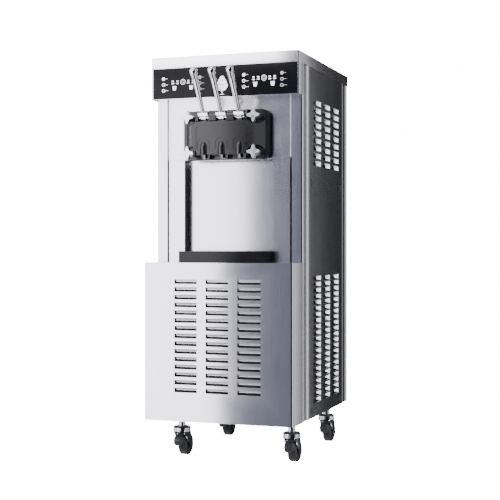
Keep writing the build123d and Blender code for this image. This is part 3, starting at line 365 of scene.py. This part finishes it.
def finish_nodes(materials, end_highlight):
    """Every CAD node gets its slot's material, and a few faces get one of their own: black caster heads
    and painted highlights on the louvre ends.
    """
    for entry in frame["record"]["subparts"]:
        finish_node(nodes[entry["node"]], materials[entry["material_slot"]])
    for name, node in nodes.items():
        if name.startswith("caster_fork"):
            blacken_head(node.data, materials["black_plastic"])
    for side in ("left", "right"):
        paint_end_highlights(nodes[f"side_panel_{side}"].data, end_highlight)


def paint_end_highlights(mesh, material):
    """The end walls of the side louvres get a pale material: a painted highlight where the side panel's
    steel looks bright.
    """
    along = [vertex.co.y for vertex in mesh.vertices]
    near, far = min(along) + HEM_MARGIN, max(along) - HEM_MARGIN
    mesh.materials.append(material)
    for face in mesh.polygons:
        if abs(face.normal.y) > END_FACING and near < face.center.y < far:
            face.material_index = 1


def blacken_head(mesh, black):
    """The rounded top of a caster's swivel head is black. Its stem and the legs stay plated."""
    top = max(vertex.co.z for vertex in mesh.vertices)
    rim = [vertex.co for vertex in mesh.vertices if vertex.co.z > top - RIM_DEPTH]
    axis = sum(rim, Vector()) / len(rim)
    mesh.materials.append(black)
    for face in mesh.polygons:
        reach = (face.center - axis).to_2d().length
        if face.center.z > HEAD_BLACK_FROM and reach > STEM_REACH:
            face.material_index = 1


# ---- Pieces made here -----------------------------------------------------------------------

def place_mesh(name, bm, material):
    """Turns a bmesh into an object in the scene."""
    bmesh.ops.recalc_face_normals(bm, faces=bm.faces)
    mesh = bpy.data.meshes.new(name)
    bm.to_mesh(mesh)
    bm.free()
    piece = bpy.data.objects.new(name, mesh)
    bpy.context.scene.collection.objects.link(piece)
    mesh.materials.append(material)
    return piece


# ---- Air filters behind the louvres ---------------------------------------------------------

PLEAT = 0.006
FEWEST_PLEATS = 8
PLEAT_RISE = 0.45
FILTER_THICKNESS = 0.002
FRONT_FILTER_HALF_WIDTH = 0.17
FRONT_FILTER_INSET = 0.0135
FRONT_FILTER_HEIGHTS = (0.24, 0.64)
BACK_FILTER_HALF_WIDTH = 0.19
BACK_FILTER_INSET = 0.008
BACK_FILTER_HEIGHTS = {"lower": (0.36, 0.66), "upper": (0.96, 1.26)}
SIDE_FILTER_MARGIN = 0.045
SIDE_FILTER_GAP = 0.001
SIDE_FILTER_HEIGHTS = {"lower": (0.18, 0.64), "upper": (1.0, 1.25)}



def filter_sheet(name, across, heights, material):
    """A sheet with upright pleats. Across gives its two ends on X and Y, seen from its back."""
    (x0, y0), (x1, y1) = across
    length = math.hypot(x1 - x0, y1 - y0)
    out_x, out_y = (y1 - y0) / length, (x0 - x1) / length
    steps = max(FEWEST_PLEATS, int(length / PLEAT))
    bm = bmesh.new()
    rows = []
    for layer in (0, 1):
        for z in heights:
            row = []
            for i in range(steps + 1):
                share = i / steps
                rise = FILTER_THICKNESS * (layer + PLEAT_RISE * (i % 2))
                x = x0 + (x1 - x0) * share + out_x * rise
                y = y0 + (y1 - y0) * share + out_y * rise
                row.append(bm.verts.new((x, y, z)))
            rows.append(row)
    front_low, front_high, back_low, back_high = rows
    for i in range(steps):
        bm.faces.new((front_low[i], front_low[i + 1], front_high[i + 1], front_high[i]))
        bm.faces.new((back_low[i + 1], back_low[i], back_high[i], back_high[i + 1]))
        bm.faces.new((front_low[i + 1], front_low[i], back_low[i], back_low[i + 1]))
        bm.faces.new((front_high[i], front_high[i + 1], back_high[i + 1], back_high[i]))
    for i in (0, steps):
        bm.faces.new((front_low[i], front_high[i], back_high[i], back_low[i]))
    sheet = place_mesh(name, bm, material)
    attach(sheet, "root")


def make_filters(material):
    """Dark filter sheets close behind the louvres and vents of the four walls."""
    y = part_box("lower_cover")[0].y + FRONT_FILTER_INSET
    half = FRONT_FILTER_HALF_WIDTH
    filter_sheet("filter_front", ((half, y), (-half, y)), FRONT_FILTER_HEIGHTS, material)
    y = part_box("back_panel")[1].y - BACK_FILTER_INSET
    half = BACK_FILTER_HALF_WIDTH
    for level, heights in BACK_FILTER_HEIGHTS.items():
        filter_sheet(f"filter_back_{level}", ((-half, y), (half, y)), heights, material)
    for side, sign in (("left", -1), ("right", 1)):
        low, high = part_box(f"side_panel_{side}")
        inner = high.x if sign < 0 else low.x
        x = inner - sign * SIDE_FILTER_GAP
        ends = ((x, low.y + SIDE_FILTER_MARGIN), (x, high.y - SIDE_FILTER_MARGIN))
        if sign > 0:
            ends = ends[::-1]
        for level, heights in SIDE_FILTER_HEIGHTS.items():
            filter_sheet(f"filter_{side}_{level}", ends, heights, material)


# ---- Printed symbols on the control panel ---------------------------------------------------

# The film stands this far proud of the panel, and is a little thinner than that.
FILM = 0.0002
FILM_DEPTH = 0.9 * FILM
RING_STEPS = 28
# The two groups of symbols have these middles on X. Heights count from the middle of the rows.
GROUP_MIDDLES = (-0.148, 0.142)
ROWS_DROP = 0.002
DIAL_HEIGHT = 0.006
DIAL_RINGS = ((0.0095, 0.0080), (0.0052, 0.0040))
BUTTON_PLACES = (-0.037, -0.020, 0.020, 0.037)
# Each button is two bars, given as height above the middle, width and thickness.
BUTTON_BARS = ((0.0095, 0.0075, 0.0050), (0.0020, 0.0095, 0.0040))
CUP_PLACES = (-0.031, 0.030)
CUP_DROP = 0.014
CUP_WIDTH = 0.0150
CUP_HEIGHT = 0.0145
CUP_FOOT = 0.32
LAMP_PLACES = (-0.071, 0.062)
LAMP_HEIGHTS = (0.019, -0.001, -0.021)
LAMP_RADIUS = 0.0058
LAMP_HOLES = (0.0012, 0.0036, 0.0036)
TAG_REACH = 0.0115
TAG_WIDTHS = (0.0075, 0.0095, 0.0115)
TAG_HEIGHT = 0.0012
# The sundae glass between the levers. Its parts count up from the middle of its stem.
GLASS_X = -0.0063
STEM_DROP = 0.036
STEM_WIDTH = 0.0038
STEM_HEIGHT = 0.0120
FOOT_DROP = 0.0062
FOOT_WIDTH = 0.0150
FOOT_HEIGHT = 0.0022
BOWL_RIM = 0.0270
BOWL_RADIUS = 0.0205
BOWL_DEPTH = 0.0225
BOWL_STEPS = 16
SCOOPS = ((0.0180, 0.0285), (0.0135, 0.0390), (0.0080, 0.0490))
SCOOP_RISE = 0.825
SCOOP_STEPS = 12


def outline_piece(name, loops, y, material):
    """Flat shapes cut from thin film. Each loop is a list of X and Z in metres."""
    bm = bmesh.new()
    for loop in loops:
        front_ring = [bm.verts.new((x, y, z)) for x, z in loop]
        back_ring = [bm.verts.new((x, y + FILM_DEPTH, z)) for x, z in loop]
        bm.faces.new(front_ring)
        bm.faces.new(back_ring[::-1])
        for index in range(len(loop)):
            after = (index + 1) % len(loop)
            bm.faces.new((front_ring[after], front_ring[index], back_ring[index], back_ring[after]))
    piece = place_mesh(name, bm, material)
    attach(piece, "root")


def ring(x, z, outer, inner):
    """A ring as a row of small quads, so that each is a simple loop."""
    loops = []
    for i in range(RING_STEPS):
        a, b = 2 * math.pi * i / RING_STEPS, 2 * math.pi * (i + 1) / RING_STEPS
        loops.append([
            (x + outer * math.cos(a), z + outer * math.sin(a)),
            (x + outer * math.cos(b), z + outer * math.sin(b)),
            (x + inner * math.cos(b), z + inner * math.sin(b)),
            (x + inner * math.cos(a), z + inner * math.sin(a)),
        ])
    return loops


def bar(x, z, width, height):
    return [
        (x - width / 2, z - height / 2), (x + width / 2, z - height / 2),
        (x + width / 2, z + height / 2), (x - width / 2, z + height / 2),
    ]


def cup(x, z, width, height):
    """A cup that is wider at its brim."""
    low, high = z - height / 2, z + height / 2
    foot = CUP_FOOT * width
    return [(x - foot, low), (x + foot, low), (x + width / 2, high), (x - width / 2, high)]


def half_oval(x, z, radius, rise, start, steps):
    """Half an oval from a start angle on, closed by its flat side."""
    turns = [start + math.pi * i / steps for i in range(steps + 1)]
    return [(x + radius * math.cos(turn), z + rise * math.sin(turn)) for turn in turns]


def symbol_group(centre, middle):
    """A dial, buttons and cups, with columns of lamps at both sides. Gives bright and dim loops."""
    bright = []
    dim = []
    for outer, inner in DIAL_RINGS:
        bright += ring(centre, middle + DIAL_HEIGHT, outer, inner)
    for place in BUTTON_PLACES:
        for height, width, thickness in BUTTON_BARS:
            bright.append(bar(centre + place, middle + height, width, thickness))
    for place in CUP_PLACES:
        bright.append(cup(centre + place, middle - CUP_DROP, CUP_WIDTH, CUP_HEIGHT))
    for height, hole, tag_width in zip(LAMP_HEIGHTS, LAMP_HOLES, TAG_WIDTHS):
        for place, loops in zip(LAMP_PLACES, (bright, dim)):
            x = centre + place
            loops += ring(x, middle + height, LAMP_RADIUS, hole)
            loops.append(bar(x + TAG_REACH, middle + height, tag_width, TAG_HEIGHT))
    return bright, dim


def sundae_glass(stem):
    """A glass on a foot with three scoops in it, as loops round the middle of its stem."""
    loops = [
        bar(GLASS_X, stem - FOOT_DROP, FOOT_WIDTH, FOOT_HEIGHT),
        bar(GLASS_X, stem, STEM_WIDTH, STEM_HEIGHT),
    ]
    loops.append(half_oval(GLASS_X, stem + BOWL_RIM, BOWL_RADIUS, BOWL_DEPTH, math.pi, BOWL_STEPS))
    for radius, height in SCOOPS:
        rise = SCOOP_RISE * radius
        loops.append(half_oval(GLASS_X, stem + height, radius, rise, 0, SCOOP_STEPS))
    return loops


def make_symbols(material, faint):
    """Generic symbols in a left and a right group, and a sundae glass between them."""
    low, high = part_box("control_panel")
    y = low.y - FILM
    middle = (low.z + high.z) / 2 - ROWS_DROP
    bright = []
    dim = []
    for centre in GROUP_MIDDLES:
        group_bright, group_dim = symbol_group(centre, middle)
        bright += group_bright
        dim += group_dim
    bright += sundae_glass(middle - STEM_DROP)
    outline_piece("panel_symbols", bright, y, material)
    outline_piece("panel_symbols_faint", dim, y, faint)


# ---- Make everything ------------------------------------------------------------------------

make_camera()
make_world()
# The pale material of the louvre end walls is a painted highlight on the side panels' steel.
finish_nodes(make_materials(), moulded_plastic("painted_end_highlight", (0.88, 0.88, 0.9), 0.45))
# Both symbol prints glow with a little emission, which is a painted glow.
make_symbols(
    glowing_print("symbol_print", (0.8, 0.8, 0.82), 0.35),
    glowing_print("symbol_print_faint", (0.3, 0.3, 0.32), 0.1),
)
make_filters(moulded_plastic("filter_cloth", (0.01, 0.01, 0.012), 0.9, 2500, 0.4))
make_lights()
